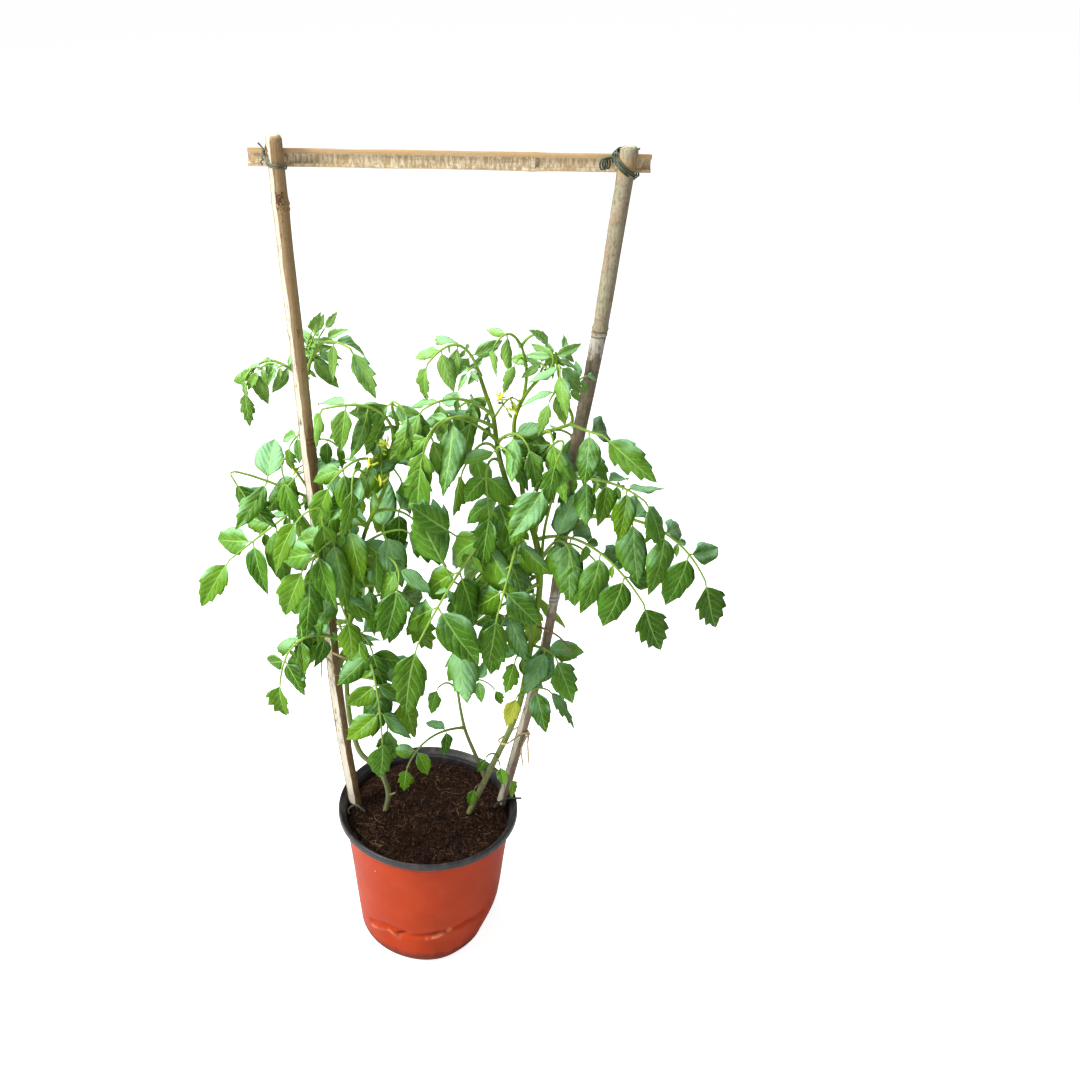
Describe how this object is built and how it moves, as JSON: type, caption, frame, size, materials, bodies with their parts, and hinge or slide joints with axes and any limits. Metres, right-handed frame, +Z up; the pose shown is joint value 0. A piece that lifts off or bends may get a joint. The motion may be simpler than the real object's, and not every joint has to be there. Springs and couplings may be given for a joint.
{
  "type": "potted tomato plant",
  "caption": "Round tapered nursery pot of soil with bushy flowering tomato plants tied to split-bamboo stakes joined by a crossbar.",
  "frame": {"origin": "centre of the pot's flat base, on the surface that it stands on", "axes": "+Z up; +X along the crossbar, to the right seen from the front; +Y from the front to the back"},
  "size_m": [0.54, 0.216, 0.9353],
  "materials": {
    "pot_plastic": "satin, thin blow-moulded plastic, grey lip and black inside",
    "soil": "crumbly, moist potting mix",
    "bamboo_tan": "weathered bamboo rind",
    "bamboo_grey": "greyed bamboo",
    "bamboo_pale": "split bamboo, pith side",
    "plant": "matt hairy leaves and stems",
    "wire": "plastic-coated garden wire",
    "wire_dark": "coated wire end",
    "twine": "dry raffia",
    "petal": "soft petals"
  },
  "bodies": {
    "root": {"pot": "pot_plastic", "soil": "soil", "stake_left": "bamboo_tan", "stake_right": "bamboo_grey", "crossbar": "bamboo_pale", "plant_left": "plant", "plant_right": "plant", "wire_tie_left": "wire", "wire_tie_right": "wire", "rim_wire_left": "wire_dark", "rim_wire_right": "wire_dark", "raffia_tie_left": "twine", "raffia_tie_right": "twine", "flower_1": "petal", "flower_2": "petal", "flower_3": "petal", "flower_4": "petal", "flower_5": "petal", "flower_6": "petal", "flower_7": "petal"}
  },
  "joints": []
}
